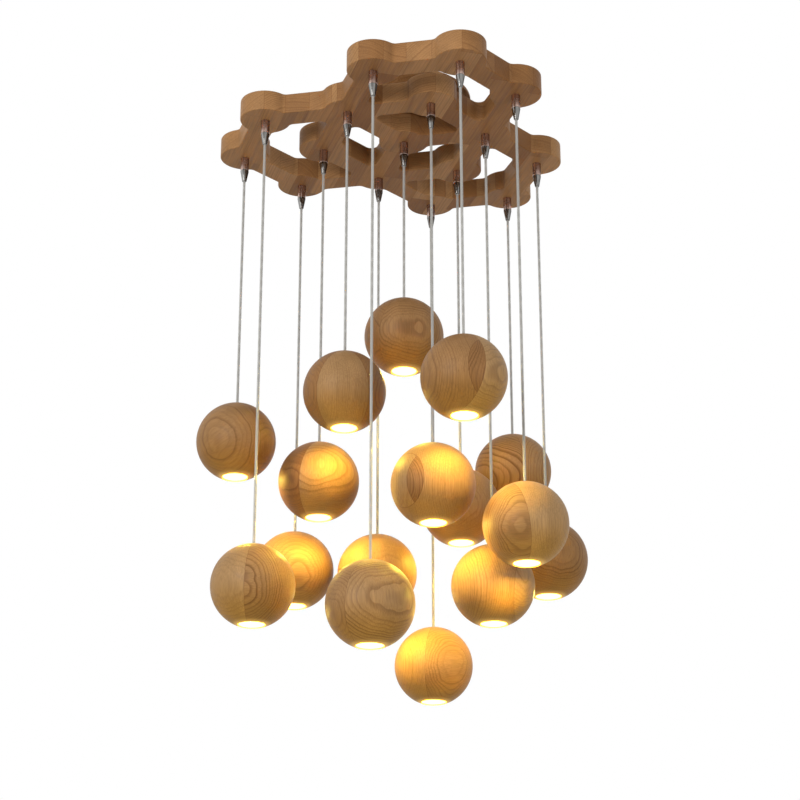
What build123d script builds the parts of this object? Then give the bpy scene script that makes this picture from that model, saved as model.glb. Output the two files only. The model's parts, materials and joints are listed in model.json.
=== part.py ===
"""Cluster pendant light: turned wooden balls on cords under a molecule-shaped wooden canopy.

Millimetres. The origin lies on the ceiling, on the axis of the ceiling rose and of the canopy's
middle lobe. +Z points up and +X runs along the canopy's rows. Everything hangs below the ceiling.
"""

from build123d import *

import os
from math import atan2, cos, degrees, pi, sin, sqrt, tan

# Balls and the triangular grid that they hang on
BALL_D = 100.0
BALL_GAP = 8.0
PITCH = BALL_D + BALL_GAP
ROW = PITCH * sqrt(3) / 2

# Wooden canopy: one lobe over each ball, bars between the lobes
BOARD_T = 27.0
LOBE_D = 65.0
BAR_W = 32.0
NECK_R = 8.0
EDGE_R = 1.5
LOBE_WALL = 9.5
BAR_WALL = 9.0
POCKET_FLOOR = 10.0

# Ceiling rose: a turned wooden dish that holds the canopy off the ceiling and hides the outlet
ROSE_D = 176.0
ROSE_FOOT_D = 80.0
ROSE_H = 36.0
ROSE_RIM = 4.0
ROSE_FLOOR = 8.0
ROSE_BORE_D = 76.0
ROSE_WIRE_D = 40.0
ROSE_TURNS = (30, 150, 270)

# Cord and the grip that it hangs from
CORD_D = 3.5
CORD_PLAY = 0.5
GRIP_D = 11.0
BARREL_H = 18.0
SPIGOT_D = 7.6
SPIGOT_H = 7.0
CONE_H = 16.0
CONE_LAND = 2.0
TIP_D = 5.8
TIP_LIP = 3.0
COLLET_D = 5.2
STUD_D = 8.0
WASHER_D = 18.0
WASHER_T = 1.5
LOCK_NUT_AF = 13.0
LOCK_NUT_H = 4.0
STUD_SHY = 0.5

# Flex point of the cord, just inside the mouth of the grip
FLEX_DEPTH = 1.0
FLEX_GAP = 0.3

# Wiring on top of the canopy
JUNCTION_D = 22.0
MAINS_D = 30.0
JUNCTION_H = 6.0
LEAD_D = 5.0
LEAD_ENTRY = 3.0
CORD_ENTRY = 3.0
MAINS_WIRE_D = 3.6
MAINS_WIRE_PITCH = 16.0
WIRE_PLAY = 0.1

# Keyhole plates in the top of the rose, which hook over three screw heads in the ceiling
PLATE_CIRCLE_D = 120.0
PLATE_L = 50.0
PLATE_W = 20.0
PLATE_T = 2.0
PLATE_CORNER = 3.0
PLATE_PLAY = 0.2
ENTRY_D = 10.0
SLOT_W = 5.0
SLOT_TRAVEL = 10.0
HEAD_PLAY = 0.25
HEAD_ROOM = 14.0
SCREW_D = 3.5
SCREW_HEAD_D = 7.0
SCREW_L = 14.0
SCREW_PITCH = 40.0

# Hollow of each ball, measured from the ball's centre
BORE_D = 30.0
MOUTH_R = 1.5
CEILING_Z = 14.0
SHOULDER_Z = 36.0
CORD_HOLE_D = 4.5

# Lamp fittings in each ball
NIPPLE_D = 10.0
NIPPLE_L = 34.0
NIPPLE_BORE_D = 4.6
STOP_D = 7.0
STOP_L = 6.0
STOP_SEAT = 8.0
LOAD_WASHER_D = 24.0
BALL_NUT_AF = 14.0
BALL_NUT_H = 5.0
HOLDER_D = 18.0
HOLDER_H = 14.0
HOLDER_GRIP = 4.0
LAMP_D = 14.0
LAMP_L = 26.0
PIN_D = 1.0
PIN_L = 5.0
PIN_PITCH = 4.0

# Radial play of threads, and of sleeves that are pushed on
THREAD_PLAY = 0.05

# Lobe of each pendant as (steps along X, rows along Y) and the drop of its ball's centre
PENDANTS = {
    "01": (0, -2, 670),
    "02": (1, -2, 410),
    "03": (1.5, -1, 560),
    "04": (0.5, -1, 505),
    "05": (-0.5, -1, 380),
    "06": (-1.5, -1, 615),
    "07": (0, 0, 275),
    "08": (1, 0, 605),
    "09": (-1, 0, 460),
    "10": (-2, 0, 400),
    "11": (1.5, 1, 550),
    "12": (-1.5, 1, 545),
    "13": (-0.5, 1, 555),
    "14": (0.5, 1, 475),
    "15": (0, 2, 655),
    "16": (1, 2, 400),
}
HUB = "07"

# The canopy's three alike thirds: spoke lobe, inner lobe, and the three lobes of the outer loop
THIRDS = (
    ("05", "09", "01", "02", "03"),
    ("08", "04", "11", "16", "15"),
    ("13", "14", "12", "10", "06"),
)

# Heights of the stack above and below the board
TOP_Z = -ROSE_H
UNDERSIDE_Z = TOP_Z - BOARD_T
FLOOR_Z = UNDERSIDE_Z + POCKET_FLOOR
NUT_TOP_Z = FLOOR_Z + WASHER_T + LOCK_NUT_H
LEAD_Z = NUT_TOP_Z + JUNCTION_H / 2
CHANNEL_Z = LEAD_Z - LEAD_D / 2
BARREL_END_Z = UNDERSIDE_Z - BARREL_H
SPIGOT_END_Z = BARREL_END_Z - SPIGOT_H
TIP_Z = BARREL_END_Z - CONE_H
COLLET_END_Z = TIP_Z + TIP_LIP
FLEX_Z = TIP_Z + FLEX_DEPTH
TAIL_END_Z = FLEX_Z + CORD_D / 2 + FLEX_GAP
NIPPLE_END = SHOULDER_Z - NIPPLE_L
CORD_END = NIPPLE_END + STOP_SEAT - STOP_L - CORD_PLAY


def lobe(name):
    step, row, _ = PENDANTS[name]
    return Vector(step * PITCH, row * ROW)


def at(name, z=0):
    """Place on the axis of a lobe."""
    return Pos(lobe(name).X, lobe(name).Y, z)


def ball_z(name):
    return UNDERSIDE_Z - PENDANTS[name][2]


def neighbours():
    """Bars that carry a lead, and the plain bars."""
    wired, plain = [], []
    for i, (spoke, inner, first, second, third) in enumerate(THIRDS):
        before, after = THIRDS[i - 1][0], THIRDS[(i + 1) % len(THIRDS)][0]
        wired += [(HUB, spoke), (spoke, inner), (spoke, first), (first, second), (second, third)]
        plain += [(inner, before), (third, after)]
    return wired, plain


WIRED, PLAIN = neighbours()


def along(start, end):
    """Frame at the middle of a bar with X along the bar, and the bar's length."""
    a, b = lobe(start), lobe(end)
    run = b - a
    middle = (a + b) / 2
    return Pos(middle.X, middle.Y, 0) * Rot(Z=degrees(atan2(run.Y, run.X))), run.length


def turned(*profile):
    """Solid turned about Z from (radius, height) corners."""
    face = Plane.XZ * make_face(Polyline(*profile, close=True))
    return revolve(face, Axis.Z)


def tube(outer_d, inner_d, low, high):
    return turned(
        (inner_d / 2, low), (outer_d / 2, low), (outer_d / 2, high), (inner_d / 2, high)
    )


def rod(diameter, low, high):
    align = (Align.CENTER, Align.CENTER, Align.MIN)
    return Pos(Z=low) * Cylinder(diameter / 2, high - low, align=align)


def hex_nut(across_flats, bore_d, low, high):
    blank = extrude(RegularPolygon(across_flats / 2, 6, major_radius=False), high - low)
    return Pos(Z=low) * blank - rod(bore_d, low, high)


def at_lobes(make, names=PENDANTS):
    return Compound(children=[at(name) * make(name) for name in names])


def bar_turns():
    """Directions, in radians and in order, of the bars that leave each lobe."""
    turns = {name: [] for name in PENDANTS}
    for start, end in WIRED + PLAIN:
        run = lobe(end) - lobe(start)
        turns[start].append(atan2(run.Y, run.X))
        turns[end].append(atan2(-run.Y, -run.X))
    return {name: sorted(around) for name, around in turns.items()}


def beside(turn, reach, offset):
    """Point beside a bar, from the middle of its lobe: so far along it, so far to its left."""
    return (
        reach * cos(turn) - offset * sin(turn),
        reach * sin(turn) + offset * cos(turn),
    )


def neck(turn, side):
    """Web that flows from the edge of a bar into the round of its lobe."""
    edge, middle = BAR_W / 2, BAR_W / 2 + NECK_R
    reach = sqrt((LOBE_D / 2 + NECK_R) ** 2 - middle ** 2)
    centre = beside(turn, reach, side * middle)
    corners = ((0, 0), beside(turn, reach, side * edge), centre)
    return make_face(Polyline(*corners, close=True)) - Pos(*centre) * Circle(NECK_R)


def crotch(turn, opening):
    """Web between two bars that meet outside the round of their lobe."""
    edge, middle = BAR_W / 2, BAR_W / 2 + NECK_R
    reach = middle / tan(opening / 2)
    centre = beside(turn, reach, middle)
    corners = ((0, 0), beside(turn, reach, edge), centre, beside(turn + opening, reach, -edge))
    return make_face(Polyline(*corners, close=True)) - Pos(*centre) * Circle(NECK_R)


def webs(around):
    """Webs in the corners between the bars of one lobe."""
    found = []
    for i, turn in enumerate(around):
        opening = (around[(i + 1) % len(around)] - turn) % (2 * pi) or 2 * pi
        meet = (BAR_W / 2 + NECK_R) / sin(opening / 2) if opening < pi / 2 else 0
        if meet > LOBE_D / 2 + NECK_R:
            found.append(crotch(turn, opening))
        else:
            found += [neck(turn, 1), neck(turn + opening, -1)]
    return found


def canopy_outline():
    """Union of lobes and bars, with each bar flowing into its lobe."""
    pieces = [at(name) * Circle(LOBE_D / 2) for name in PENDANTS]
    for start, end in WIRED + PLAIN:
        frame, length = along(start, end)
        pieces.append(frame * Rectangle(length, BAR_W))
    for name, around in bar_turns().items():
        pieces += [at(name) * web for web in webs(around)]
    return pieces[0] + pieces[1:]


def keyhole(width, entry_d, depth, high):
    """Round entry at the middle of the plate, and the slot that runs from it along X."""
    slot = Rectangle(SLOT_TRAVEL, width, align=(Align.MIN, Align.CENTER))
    shape = Circle(entry_d / 2) + slot + Pos(SLOT_TRAVEL, 0) * Circle(width / 2)
    return Pos(Z=high - depth) * extrude(shape, depth)


def plate_blank(play):
    outline = RectangleRounded(PLATE_L + 2 * play, PLATE_W + 2 * play, PLATE_CORNER + play)
    return Pos(Z=-PLATE_T) * extrude(outline, PLATE_T)


def screw_places():
    return [Pos(X=side * SCREW_PITCH / 2) for side in (-1, 1)]


def wood_screw():
    """Countersunk wood screw, head flush with what it holds."""
    sink = (SCREW_HEAD_D - SCREW_D) / 2
    return turned(
        (0, 0), (SCREW_HEAD_D / 2, 0), (SCREW_D / 2, -sink),
        (SCREW_D / 2, sink - SCREW_L), (0, -SCREW_L),
    )


def screw_hole():
    sink = (SCREW_HEAD_D - SCREW_D) / 2
    r = SCREW_D / 2 + THREAD_PLAY
    return turned(
        (0, 0), (SCREW_HEAD_D / 2 + THREAD_PLAY, 0), (r, -sink), (r, -SCREW_L), (0, -SCREW_L)
    )


def canopy_frame():
    board = Pos(Z=UNDERSIDE_Z) * extrude(canopy_outline(), BOARD_T)
    rims = board.edges().group_by(Axis.Z)
    board = fillet(rims[0] + rims[-1], EDGE_R)
    cuts = []
    for name in PENDANTS:
        pocket = rod(LOBE_D - 2 * LOBE_WALL, FLOOR_Z, TOP_Z)
        stud_hole = rod(STUD_D + 2 * CORD_PLAY, UNDERSIDE_Z, FLOOR_Z)
        cuts += [at(name) * pocket, at(name) * stud_hole]
    for start, end in WIRED:
        frame, length = along(start, end)
        room = (length, BAR_W - 2 * BAR_WALL, TOP_Z - CHANNEL_Z)
        channel = Box(*room, align=(Align.CENTER, Align.CENTER, Align.MAX))
        cuts.append(frame * Pos(Z=TOP_Z) * channel)
    cuts += [place * screw_hole() for place in rose_screw_places()]
    return board - cuts


def plate_places():
    """Frames of the keyhole plates on the ceiling: X runs round the rose, so that a twist locks all."""
    return [Rot(Z=turn) * Pos(Y=-PLATE_CIRCLE_D / 2) for turn in ROSE_TURNS]


def rose_screw_places():
    """Heads of the screws that hold the canopy's middle lobe to the floor of the rose."""
    reach = (LOBE_D - LOBE_WALL) / 2
    return [Rot(Z=turn) * Pos(Y=-reach, Z=TOP_Z + ROSE_FLOOR) for turn in ROSE_TURNS]


def plate_screw_places():
    return [plate * place for plate in plate_places() for place in screw_places()]


def ceiling_rose():
    """Dish that widens towards the ceiling, hollow for the wiring, recessed for the keyhole plates."""
    dish = turned(
        (ROSE_WIRE_D / 2, TOP_Z),
        (ROSE_FOOT_D / 2, TOP_Z),
        (ROSE_D / 2, -ROSE_RIM),
        (ROSE_D / 2, 0),
        (ROSE_BORE_D / 2, 0),
        (ROSE_BORE_D / 2, TOP_Z + ROSE_FLOOR),
        (ROSE_WIRE_D / 2, TOP_Z + ROSE_FLOOR),
    )
    head_d = ENTRY_D + 2 * HEAD_PLAY
    room = keyhole(head_d, head_d, HEAD_ROOM, -PLATE_T)
    cuts = []
    for place in plate_places():
        cuts += [place * plate_blank(PLATE_PLAY), place * room]
    cuts += [place * screw_hole() for place in plate_screw_places() + rose_screw_places()]
    return dish - cuts


def keyhole_plate():
    plate = plate_blank(0) - keyhole(SLOT_W, ENTRY_D, PLATE_T, 0)
    return plate - [place * screw_hole() for place in screw_places()]


def at_places(shape, places):
    return Compound(children=[place * shape for place in places])


def grip_barrel(_):
    """Body under the board, stud up through it, and the threaded spigot for the cone."""
    bore = CORD_D / 2 + CORD_PLAY
    return turned(
        (bore, SPIGOT_END_Z),
        (SPIGOT_D / 2, SPIGOT_END_Z),
        (SPIGOT_D / 2, BARREL_END_Z),
        (GRIP_D / 2, BARREL_END_Z),
        (GRIP_D / 2, UNDERSIDE_Z),
        (STUD_D / 2, UNDERSIDE_Z),
        (STUD_D / 2, NUT_TOP_Z - STUD_SHY),
        (bore, NUT_TOP_Z - STUD_SHY),
    )


def grip_cone(_):
    """Cone nut: bored for the spigot, then for the collet, with a lip at the tip."""
    seat = SPIGOT_D / 2 + THREAD_PLAY
    mouth = CORD_D / 2 + CORD_PLAY
    return turned(
        (seat, BARREL_END_Z),
        (GRIP_D / 2, BARREL_END_Z),
        (GRIP_D / 2, BARREL_END_Z - CONE_LAND),
        (TIP_D / 2, TIP_Z),
        (mouth, TIP_Z),
        (mouth, COLLET_END_Z),
        (COLLET_D / 2, COLLET_END_Z),
        (COLLET_D / 2, SPIGOT_END_Z),
        (seat, SPIGOT_END_Z),
    )


def grip_collet(_):
    return tube(COLLET_D, CORD_D + 2 * THREAD_PLAY, COLLET_END_Z, SPIGOT_END_Z)


def grip_washer(_):
    return tube(WASHER_D, STUD_D + 2 * CORD_PLAY, FLOOR_Z, FLOOR_Z + WASHER_T)


def grip_lock_nut(_):
    return hex_nut(LOCK_NUT_AF, STUD_D + 2 * THREAD_PLAY, FLOOR_Z + WASHER_T, NUT_TOP_Z)


def cord_tail(_):
    """The part of the cord that the grip holds still, from the flex point to its junction."""
    return rod(CORD_D, TAIL_END_Z, NUT_TOP_Z + CORD_ENTRY)


def junction_d(name):
    return MAINS_D if name == HUB else JUNCTION_D


def wire_terminal(name):
    """Round terminal on the lock nut: the cord enters from below and the leads from the sides."""
    top = NUT_TOP_Z + JUNCTION_H
    body = rod(junction_d(name), NUT_TOP_Z, top)
    body -= rod(CORD_D + 2 * WIRE_PLAY, NUT_TOP_Z, NUT_TOP_Z + CORD_ENTRY)
    for start, end in WIRED:
        if name in (start, end):
            run = lobe(end if name == start else start) - lobe(name)
            socket = Pos(Z=LEAD_Z) * Rot(Z=degrees(atan2(run.Y, run.X))) * Rot(Y=90)
            inner = junction_d(name) / 2 - LEAD_ENTRY
            body -= socket * rod(LEAD_D + 2 * WIRE_PLAY, inner, junction_d(name))
    if name == HUB:
        for side in (-1, 1):
            wire = rod(MAINS_WIRE_D, top - LEAD_ENTRY, top)
            body -= Rot(Z=90) * Pos(X=side * MAINS_WIRE_PITCH / 2) * wire
    return body


def harness_leads():
    """Two-core leads between the junctions, each lying on the floor of its channel."""
    leads = []
    for start, end in WIRED:
        frame, length = along(start, end)
        low = junction_d(start) / 2 - LEAD_ENTRY - length / 2
        high = length / 2 - junction_d(end) / 2 + LEAD_ENTRY
        leads.append(frame * Pos(Z=LEAD_Z) * Rot(Y=90) * rod(LEAD_D, low, high))
    return Compound(children=leads)


def cord(name):
    """Free stretch of a cord, rounded at its flex point, down to the stop inside the ball."""
    end = ball_z(name) + CORD_END
    return at(name) * (rod(CORD_D, end, FLEX_Z) + Pos(Z=FLEX_Z) * Sphere(CORD_D / 2))


def ball(name):
    """Turned ball: lamp bore with a rounded mouth, threaded hole over it, cord hole at the top."""
    r = BALL_D / 2
    blank = Sphere(r) - rod(BORE_D, -r, CEILING_Z)
    blank -= rod(NIPPLE_D + 2 * THREAD_PLAY, CEILING_Z, SHOULDER_Z)
    blank -= rod(CORD_HOLE_D, SHOULDER_Z, r)
    mouth_z = -sqrt(r**2 - (BORE_D / 2) ** 2)
    mouth = blank.edges().filter_by(GeomType.CIRCLE).sort_by(lambda e: abs(e.center().Z - mouth_z))[0]
    return at(name, ball_z(name)) * fillet(mouth, MOUTH_R)


def lamp_nipple():
    """Hollow threaded nipple, counterbored from below so that the cord's stop bears on a shoulder."""
    bore, seat = NIPPLE_BORE_D / 2, STOP_D / 2 + THREAD_PLAY
    step = NIPPLE_END + STOP_SEAT
    return turned(
        (seat, NIPPLE_END), (NIPPLE_D / 2, NIPPLE_END), (NIPPLE_D / 2, SHOULDER_Z),
        (bore, SHOULDER_Z), (bore, step), (seat, step),
    )


def lamp_holder(top):
    """Ceramic holder screwed on the nipple, with two pin sockets underneath."""
    body = rod(HOLDER_D, top - HOLDER_H, top)
    body -= rod(NIPPLE_D + 2 * THREAD_PLAY, NIPPLE_END, top)
    for side in (-1, 1):
        socket = rod(PIN_D + 2 * WIRE_PLAY, top - HOLDER_H, top - HOLDER_H + PIN_L + WIRE_PLAY)
        body -= Pos(X=side * PIN_PITCH / 2) * socket
    return body


def lamp_capsule(top):
    """Light-emitting capsule with a round end and two pins."""
    r = LAMP_D / 2
    body = rod(LAMP_D, top - LAMP_L + r, top) + Pos(Z=top - LAMP_L + r) * Sphere(r)
    pins = [Pos(X=side * PIN_PITCH / 2) * rod(PIN_D, top - r, top + PIN_L) for side in (-1, 1)]
    return body + pins


def lamp(name):
    """Everything that holds the ball on its cord and lights it, as separate pieces."""
    step = NIPPLE_END + STOP_SEAT
    nut_top = CEILING_Z - WASHER_T
    holder_top = NIPPLE_END + HOLDER_GRIP
    pieces = [
        lamp_nipple(),
        tube(STOP_D, CORD_D + 2 * THREAD_PLAY, step - STOP_L, step),
        tube(LOAD_WASHER_D, NIPPLE_D + 2 * CORD_PLAY, nut_top, CEILING_Z),
        hex_nut(BALL_NUT_AF, NIPPLE_D + 2 * THREAD_PLAY, nut_top - BALL_NUT_H, nut_top),
        lamp_holder(holder_top),
        lamp_capsule(holder_top - HOLDER_H),
    ]
    place = at(name, ball_z(name))
    return Compound(children=[place * piece for piece in pieces])


def main():
    os.makedirs("parts", exist_ok=True)
    nodes = {
        "ceiling_rose": ceiling_rose(),
        "keyhole_plates": at_places(keyhole_plate(), plate_places()),
        "wood_screws": at_places(wood_screw(), plate_screw_places() + rose_screw_places()),
        "canopy_frame": canopy_frame(),
        "grip_barrels": at_lobes(grip_barrel),
        "grip_cones": at_lobes(grip_cone),
        "grip_collets": at_lobes(grip_collet),
        "grip_washers": at_lobes(grip_washer),
        "grip_lock_nuts": at_lobes(grip_lock_nut),
        "wire_terminals": at_lobes(wire_terminal),
        "harness_leads": harness_leads(),
        "cord_tails": at_lobes(cord_tail),
    }
    for name in PENDANTS:
        nodes["cord_" + name] = cord(name)
        nodes["ball_" + name] = ball(name)
        nodes["lamp_" + name] = lamp(name)
    for node, shape in nodes.items():
        export_step(shape, f"parts/{node}.step")


main()
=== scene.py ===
"""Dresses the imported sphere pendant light: turned balls, lamps, cords, grips, canopy, wiring, studio.

Metres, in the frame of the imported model: the origin on the ceiling over the middle lobe, +Z up.
"""

import json
from math import asin, cos, pi, radians, sin, sqrt

import bpy
from bpy.props import FloatProperty, FloatVectorProperty, IntProperty, PointerProperty
from mathutils import Matrix, Vector


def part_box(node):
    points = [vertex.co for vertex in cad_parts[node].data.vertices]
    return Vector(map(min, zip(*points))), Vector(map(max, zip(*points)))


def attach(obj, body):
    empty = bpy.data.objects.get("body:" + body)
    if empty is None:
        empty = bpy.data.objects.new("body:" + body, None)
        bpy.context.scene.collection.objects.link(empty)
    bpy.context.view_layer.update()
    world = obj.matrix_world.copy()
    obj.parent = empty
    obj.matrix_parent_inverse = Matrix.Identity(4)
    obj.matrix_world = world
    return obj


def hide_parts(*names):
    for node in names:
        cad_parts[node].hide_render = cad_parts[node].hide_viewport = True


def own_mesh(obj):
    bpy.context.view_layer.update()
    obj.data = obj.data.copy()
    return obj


bl_info = {
    "name": "Sphere Pendant Light",
    "version": (1, 0, 0),
    "blender": (4, 5, 0),
    "location": "3D View > Sidebar > Pendant",
    "description": "Looks of a cluster pendant with turned wooden balls under a molecule-shaped canopy",
    "category": "Object",
}

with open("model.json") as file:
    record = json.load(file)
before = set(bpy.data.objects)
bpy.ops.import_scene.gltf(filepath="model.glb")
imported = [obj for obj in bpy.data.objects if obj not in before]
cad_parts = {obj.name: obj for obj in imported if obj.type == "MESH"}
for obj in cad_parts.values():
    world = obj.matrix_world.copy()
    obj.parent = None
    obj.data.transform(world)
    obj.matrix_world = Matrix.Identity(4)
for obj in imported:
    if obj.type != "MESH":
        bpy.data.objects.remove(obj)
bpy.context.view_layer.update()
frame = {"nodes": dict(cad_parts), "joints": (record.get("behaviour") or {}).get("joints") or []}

# Lobes that a lead joins, as pairs of pendant numbers; the mains terminal sits on the first
LEADS = (
    ("07", "05"), ("05", "09"), ("05", "01"), ("01", "02"), ("02", "03"),
    ("07", "08"), ("08", "04"), ("08", "11"), ("11", "16"), ("16", "15"),
    ("07", "13"), ("13", "14"), ("13", "12"), ("12", "10"), ("10", "06"),
)

# Grain of each ball, from the blocks that it was glued from. A block is given as: where its rings
# are centred on the face, across and up in radii; the pith behind the ball's centre, mm; the ring
# pitch, mm; the lean of the fibre, degrees; how brown it is; how strong the rings are. Then come the
# glue planes between the blocks, each through three points of the face, across and up in radii.
# UPRIGHT holds the first two points of a plane through the ball's top and bottom.
UPRIGHT = ((0, 1), (0, -1))
GRAIN = {
    "01": (((-0.95, -0.2, 40, 2.6, 25, 0.45, 0.4), (0.48, 0.18, 55, 3.0, 0, 0.3, 0.6)),
           ((*UPRIGHT, (-0.55, 0)),)),
    "02": (((-1, 0, 90, 2.4, 0, 0.55, 0.35), (1, 0, 50, 2.2, 0, 0.75, 0.6),
            (0.85, 0.1, 60, 2.6, 0, 0.1, 0.3)),
           (((0.35, 0.84), (0.29, -0.34), (0.1, 0.33)), ((0.35, 0.84), (0.29, -0.34), (0.49, 0.4)))),
    "03": (((-0.1, -0.05, 60, 2.8, 90, 0.4, 0.5), (1, 0, 120, 2.0, 8, 0.08, 0.25)),
           (((-0.2, 0.9), (0.1, -0.55), (0.08, 0.2)),)),
    "04": (((-1, 0, 100, 2.4, 0, 0.2, 0.3), (-1, 0, 50, 2.2, 0, 0.7, 0.6),
            (1, 0, 110, 2.2, -6, 0.35, 0.3)),
           (((-0.38, 0.67), (-0.43, -0.4), (-0.61, 0.12)), ((-0.38, 0.67), (-0.43, -0.4), (-0.22, 0.1)))),
    "05": (((-1, 0, 70, 2.8, 0, 0.75, 0.4), (-1, 0, 140, 2.0, 0, 0.3, 0.25),
            (1, 0, 70, 2.6, 0, 0.7, 0.4)),
           ((*UPRIGHT, (-0.66, 0)), (*UPRIGHT, (0.58, 0)))),
    "06": (((-0.8, 0, 50, 3.2, 0, 0.15, 0.2), (-0.3, 0.05, 70, 2.4, 90, 0.42, 0.6)),
           ((*UPRIGHT, (-0.2, 0)),)),
    "07": (((-0.95, 0, 50, 2.6, 0, 0.65, 0.4), (0.18, 0.25, 70, 2.6, 0, 0.55, 0.4)),
           ((*UPRIGHT, (-0.62, 0)),)),
    "08": (((-1, 0, 80, 2.4, -12, 0.4, 0.4), (0.8, 0.35, 60, 2.6, 0, 0.12, 0.3)),
           (((0.62, 0.7), (0.5, -0.75), (0.5, 0)),)),
    "09": (((-0.8, 0.1, 40, 2.8, 0, 0.9, 0.5), (0, 0.45, 45, 3.2, 0, 0.4, 0.4)),
           ((*UPRIGHT, (-0.48, 0)),)),
    "10": (((-0.5, 0.12, 90, 2.8, 60, 0.5, 0.45), (0.85, -0.1, 40, 2.6, 0, 0.75, 0.4)),
           ((*UPRIGHT, (0.6, 0)),)),
    "11": (((0.2, 0.3, 50, 2.6, 15, 0.55, 0.5),), ()),
    "12": (((0.1, -0.08, 65, 2.4, 90, 0.45, 0.4),), ()),
    "13": (((0.3, 0.2, 80, 2.4, 0, 0.45, 0.25),), ()),
    "14": (((-0.2, 0.1, 90, 2.4, 0, 0.45, 0.25),), ()),
    "15": (((-1, 0, 120, 2.4, 0, 0.35, 0.2), (0.55, 0, 60, 2.6, 90, 0.5, 0.4)),
           ((*UPRIGHT, (-0.22, 0)),)),
    "16": (((-0.75, -0.15, 48, 3.4, 0, 0.5, 0.8), (1, 0, 100, 2.4, 0, 0.4, 0.4)),
           ((*UPRIGHT, (0.3, 0)),)),
}


# Sheen of oiled wood, and the depth of its grain and of the marks on metal and mouldings, metres
WOOD_SHEEN = 0.16
GRAIN_DEPTH = 0.00015
MARK_DEPTH = 0.00004


def shade(red, green, blue):
    """Linear colour from the 0 to 255 values that a colour card gives."""
    steps = [value / 255 for value in (red, green, blue)]
    return tuple(s / 12.92 if s < 0.04045 else ((s + 0.055) / 1.055) ** 2.4 for s in steps)


def length(name, description, default):
    return FloatProperty(
        name=name, description=description, default=default, min=0, unit="LENGTH", precision=4
    )


def colour(name, description, *card):
    return FloatVectorProperty(
        name=name, description=description, default=shade(*card), min=0, max=1, subtype="COLOR"
    )


def width_of(node):
    low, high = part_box(node)
    return round(high[0] - low[0], 4)


class PendantSizes(bpy.types.PropertyGroup):
    """Sizes of the pieces"""

    ball: length("Ball", "Diameter of a turned ball", width_of("ball_01"))
    bore: length("Lamp bore", "Diameter of the bore at the bottom of a ball", 0.030)
    mouth_round: length("Mouth round", "Rounding of the rim of the bore", 0.0015)
    cord: length("Cord", "Diameter of the clear sheath", 0.0035)
    strand: length("Strand", "Diameter of each wire in the sheath", 0.00115)
    strand_lay: length("Lay of the strands", "Length of one turn of the two wires", 0.032)
    grip: length("Grip", "Diameter of the cord grip", 0.011)
    grip_tip: length("Grip tip", "Diameter of the cone nut at its tip", 0.0058)
    grip_chamfer: length("Grip chamfer", "Bevel on the grip's turned edges", 0.0005)
    lead: length("Lead", "Diameter of the leads on top of the canopy", 0.005)
    strip: length("Strip", "Width of the strips that the canopy board is glued from", 0.028)
    strip_run: length("Strip length", "Length of each piece in a strip", 0.17)
    steps: IntProperty(
        name="Steps", description="Facets round a turned piece", default=128, min=16, max=512
    )


class PendantColours(bpy.types.PropertyGroup):
    """Colours of the finishes"""

    pale_wood: colour("Pale wood", "Sapwood and early growth", 184, 146, 99)
    brown_wood: colour("Brown wood", "Heartwood", 138, 92, 49)
    dark_grain: colour("Dark grain", "Late growth in each ring", 96, 56, 26)
    board_wood: colour("Board wood", "Pale strips of the canopy", 178, 133, 87)
    # The lamp glow colour lights the capsules, and is also emitted by the wood round each mouth as a
    # painted glow. The lit bore colour is a painted glow that the wood inside the bore emits.
    glow: colour("Lamp glow", "Light of the lamps", 255, 205, 105)
    bore: colour("Lit bore", "Inside of a ball in the light of its lamp", 255, 248, 226)
    # The grip colours are painted reflections: light and dark bands that stand for the room mirrored in the
    # steel barrels and the chrome cone nuts
    steel: colour("Grip steel", "Barrel of the cord grip, light bands", 226, 198, 186)
    steel_dark_reflection: colour("Grip steel, dark", "Barrel of the cord grip, dark bands", 132, 104, 94)
    chrome: colour("Grip chrome", "Cone nut of the cord grip, light bands", 172, 171, 168)
    chrome_dark_reflection: colour("Grip chrome, dark", "Cone nut of the cord grip, dark bands", 62, 60, 58)
    zinc: colour("Zinc", "Washers, nuts, plates and screws", 186, 188, 190)
    nylon: colour("Nylon", "Collets in the grips", 226, 224, 214)
    terminal: colour("Terminals", "Terminals of the leads and of the mains", 232, 231, 226)
    sheath: colour("Lead sheath", "Leads on top of the canopy", 222, 220, 212)
    clear: colour("Cord sheath", "Clear sheath of the cords", 214, 212, 206)
    strand: colour("Strand", "Wires inside the cords", 150, 147, 142)
    ceramic: colour("Ceramic", "Lamp holders", 238, 234, 224)


class PendantStudio(bpy.types.PropertyGroup):
    """Camera and light"""

    camera: FloatVectorProperty(
        name="Camera", description="Place of the camera", default=(0.457, -2.228, -1.283),
        subtype="TRANSLATION", unit="LENGTH",
    )
    aim: FloatVectorProperty(
        name="Aim", description="Turn of the camera", size=3, subtype="EULER",
        default=(radians(110.71), 0, radians(11.72)),
    )
    lens: FloatProperty(
        name="Lens", description="Focal length on a 36 mm frame", default=87.84, unit="CAMERA"
    )
    key: FloatProperty(name="Key light", description="Soft box beside the camera", default=40, unit="POWER")
    fill: FloatProperty(name="Fill light", description="Soft box on the right", default=14, unit="POWER")
    lamp: FloatProperty(name="Lamp", description="Each lamp in a ball", default=1.0, unit="POWER")
    sky: FloatProperty(name="Sky", description="Level of the light from all round", default=0.36)


def pendants():
    """Number, flex point of the cord and centre of the ball of each pendant."""
    radius = width_of("ball_01") / 2
    found = {}
    for joint in frame["joints"]:
        kind, number = joint["name"].split("_")
        if kind == "swing":
            flex = Vector(joint["pos_m"])
            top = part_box("ball_" + number)[1][2]
            found[number] = (flex, Vector((flex.x, flex.y, top - radius)))
    return found


PENDANTS = pendants()
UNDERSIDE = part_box("canopy_frame")[0][2]


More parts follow.
